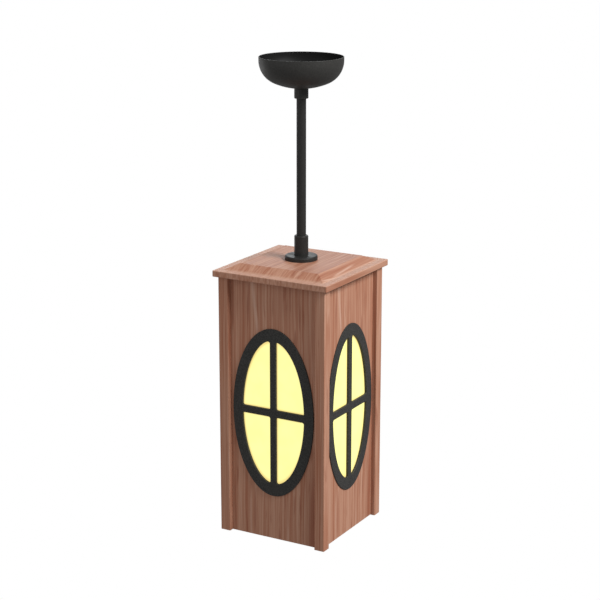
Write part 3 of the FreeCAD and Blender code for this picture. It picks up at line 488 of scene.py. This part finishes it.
# A streak's place across is from the board's middle. Its place along is in the lantern's own frame: a
# level on a panel, and a distance behind the stem on the cap board, whose grain runs front to back.
PANEL_STREAKS_AND_SHADE = (
    Streak(-0.0300, PANEL_TOP - 0.028, 4.5 * MM, 0.062, -0.12, 0.62, pale=True),
    Streak(-0.0365, PANEL_FOOT + 0.030, 2.0 * MM, 0.045, 0.0, 0.45, pale=True),
    # Partly a dark streak of the grain, partly painted shade beside the left-hand post.
    Streak(-0.0635, PANEL_TOP - 0.035, 3.2 * MM, 0.050, 0.0, 0.55, pale=False),
    Streak(0.0175, PANEL_TOP - 0.008, 2.2 * MM, 0.020, 0.0, 0.60, pale=False),
    Streak(-0.0300, PANEL_FOOT + 0.034, 2.4 * MM, 0.040, 0.0, 0.60, pale=False),
    # Partly a dark streak of the grain, partly painted shade beside the left-hand post.
    Streak(-0.0630, PANEL_FOOT + 0.040, 3.0 * MM, 0.060, 0.0, 0.45, pale=False),
    # Painted shade beside the right-hand post, strongest near the foot.
    Streak(0.0615, PANEL_FOOT + 0.010, 11.0 * MM, 0.120, 0.0, 0.62, pale=False),
)

CAP_STREAKS = (
    Streak(0.062, 0.020, 3.0 * MM, 0.075, 0.0, 0.35, pale=True),
    Streak(0.071, -0.011, 2.4 * MM, 0.040, -0.08, 0.85, pale=True),
    Streak(0.0755, -0.052, 2.2 * MM, 0.030, 0.17, 0.85, pale=True),
    Streak(0.034, 0.035, 1.6 * MM, 0.050, 0.05, 0.40, pale=False),
    Streak(0.022, 0.050, 1.2 * MM, 0.035, 0.05, 0.35, pale=False),
)


def paint(node, material):
    """Gives a CAD node its material in every slot."""
    data = nodes[node].data
    for slot in range(len(data.materials)):
        data.materials[slot] = material


def paint_box():
    """The wooden box, its windows and their gaskets."""
    black_frame = powder_coat("black_window_coat", (0.040, 0.039, 0.037), 0.60, grit=1.30 * MM, gloss=0.22)
    rubber = moulded("gasket_rubber", (0.030, 0.029, 0.028), 0.75)
    for side, turn in SIDES.items():
        paint("panel_" + side, wood("cedar_panel_" + side, (0, 0, turn), PANEL_STREAKS_AND_SHADE))
        paint("top_rail_" + side, wood("cedar_rail_" + side, (0, math.pi / 2, turn), seed=5.0))
        paint("window_frame_" + side, black_frame)
        paint("window_pane_" + side, opal_pane("yellow_opal_glass_" + side, turn))
        paint("pane_gasket_" + side, rubber)
    posts = wood("cedar_posts", (0, 0, 0), seed=2.0)
    for corner in ("front_left", "front_right", "back_left", "back_right"):
        paint("corner_post_" + corner, posts)
    cap = wood("cedar_cap", (math.pi / 2, 0, 0), CAP_STREAKS, seed=9.0, roughness=0.50, gloss=0.45,
               lip=CAP_LIP)
    paint("cap_board", cap)


def paint_black_metal():
    """The stem and the canopy."""
    stem = powder_coat("black_stem_coat", (0.0225, 0.0218, 0.0205), 0.46, grit=0.60 * MM, gloss=0.27)
    # The canopy's black is painted lighter than the stem's, as painted light for the light the bowl
    # catches, and its inside is painted shade.
    canopy = powder_coat("black_canopy_coat", (0.033, 0.032, 0.030), 0.50, grit=0.60 * MM, gloss=0.26,
                         painted_inside_shade=0.9)
    for node in ("stem_tube", "stem_sleeve", "cap_flange"):
        paint(node, stem)
    for node in ("canopy_cup", "canopy_collar", "canopy_ring_nut"):
        paint(node, canopy)


BRASS = (0.80, 0.58, 0.28)


def paint_bare_metal():
    """Plated steel for what fastens and carries, and brass for what carries the current."""
    plated = metal("zinc_plated_steel", (0.60, 0.59, 0.56), 0.32)
    brass = metal("brass", BRASS, 0.28)
    for node in ("hanging_eye", "hollow_nipple", "nipple_nut", "nipple_washer", "terminal_bracket",
                 "earth_screw", "canopy_grub_screw", "rail_screws", "retainer_screws"):
        paint(node, plated)
    for side in SIDES:
        paint("pane_retainer_" + side, plated)
    for node in ("bulb_base", "lampholder_contact", "lampholder_sleeve", "terminal_inserts",
                 "terminal_screws"):
        paint(node, brass)
    paint("bulb_tip", metal("solder", (0.58, 0.58, 0.57), 0.42))


def paint_lampholder_and_bulb():
    """The lampholder, the terminal block, the leads and the bulb."""
    bakelite = moulded("black_bakelite", (0.020, 0.018, 0.016), 0.34, coat=0.25)
    paint("lampholder_cap", bakelite)
    paint("lampholder_skirt", bakelite)
    ceramic = moulded("glazed_ceramic", (0.78, 0.76, 0.70), 0.22, coat=0.5, grain=0.8 * MM, uneven=0.06)
    paint("lampholder_insert", ceramic)
    paint("terminal_block", moulded("white_nylon", (0.80, 0.79, 0.74), 0.45))
    paint("live_lead", moulded("brown_insulation", (0.16, 0.055, 0.025), 0.42))
    paint("neutral_lead", moulded("blue_insulation", (0.030, 0.10, 0.38), 0.42))
    paint("bulb_globe", clear_glass("bulb_glass", (1.0, 0.985, 0.955)))
    paint("bulb_insulator", moulded("black_glass", (0.015, 0.015, 0.017), 0.12, coat=0.4))
    paint("bulb_filaments", glowing_filament("filament"))


# ---------------------------------------------------------------- screw threads of the bulb and its holder

THREAD_PITCH = 3.6 * MM
THREAD_ROUND = 90
ROWS_PER_TURN = 14
SHELL_WALL = 0.2 * MM
THREAD_RUN_OUT = 1.6 * MM

# The bulb's cap: how much slimmer its crest is than the plain tube, and how far its thread stays from
# its top.
CAP_SLIMMER = 0.05 * MM
CAP_THREAD_DEPTH = 0.9 * MM
CAP_PLAIN_TOP = 0.6 * MM

# The holder's sleeve, which is plain at both ends.
SLEEVE_THREAD_DEPTH = 0.6 * MM
SLEEVE_PLAIN_END = 0.8 * MM


def fade(distance, length):
    """0 at the end of a thread and 1 once it is length into it."""
    share = min(max(distance / length, 0.0), 1.0)
    return share * share * (3 - 2 * share)


def threaded_shell(name, low, high, crest, depth, thread_low, thread_high):
    """A rolled metal shell: a tube from low to high, whose radius outside is crest. Its wall carries a
    round thread of that depth between thread_low and thread_high."""
    rows = round((high - low) / THREAD_PITCH * ROWS_PER_TURN)
    levels = [low + (high - low) * row / rows for row in range(rows + 1)]

    def ring(level, inset):
        grip = fade(level - thread_low, THREAD_RUN_OUT) * fade(thread_high - level, THREAD_RUN_OUT)
        for step in range(THREAD_ROUND):
            turn = 2 * math.pi * step / THREAD_ROUND
            wave = 0.5 - 0.5 * math.cos(2 * math.pi * level / THREAD_PITCH - turn)
            radius = crest - depth * grip * wave - inset
            yield radius * math.cos(turn), radius * math.sin(turn), level

    points = [point for level in levels for point in ring(level, 0.0)]
    points += [point for level in reversed(levels) for point in ring(level, SHELL_WALL)]
    loops = 2 * (rows + 1)
    faces = []
    for loop in range(loops):
        here = loop * THREAD_ROUND
        beyond = (loop + 1) % loops * THREAD_ROUND
        for step in range(THREAD_ROUND):
            after = (step + 1) % THREAD_ROUND
            faces.append((here + step, here + after, beyond + after, beyond + step))
    shell = new_mesh(name, points, faces)
    shell.data.polygons.foreach_set("use_smooth", [True] * len(faces))
    return shell


def make_threads():
    """The bulb's screw cap, plain over its lower third, and the holder's sleeve that it screws into."""
    brass = metal("rolled_brass", BRASS, 0.26)
    low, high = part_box("bulb_base")
    cap = threaded_shell("bulb_screw_cap", low.z, high.z, high.x - CAP_SLIMMER, CAP_THREAD_DEPTH,
                         low.z + (high.z - low.z) / 3, high.z - CAP_PLAIN_TOP)
    cap.data.materials.append(brass)
    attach(cap, "bulb")
    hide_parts("bulb_base")
    low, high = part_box("lampholder_sleeve")
    sleeve = threaded_shell("holder_screw_sleeve", low.z, high.z, high.x, SLEEVE_THREAD_DEPTH,
                            low.z + SLEEVE_PLAIN_END, high.z - SLEEVE_PLAIN_END)
    sleeve.data.materials.append(brass)
    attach(sleeve, "lantern")
    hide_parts("lampholder_sleeve")


make_camera()
make_room()
make_world()
make_lights()
paint_box()
paint_black_metal()
paint_bare_metal()
paint_lampholder_and_bulb()
make_threads()
bpy.context.scene.view_settings.view_transform = "Standard"
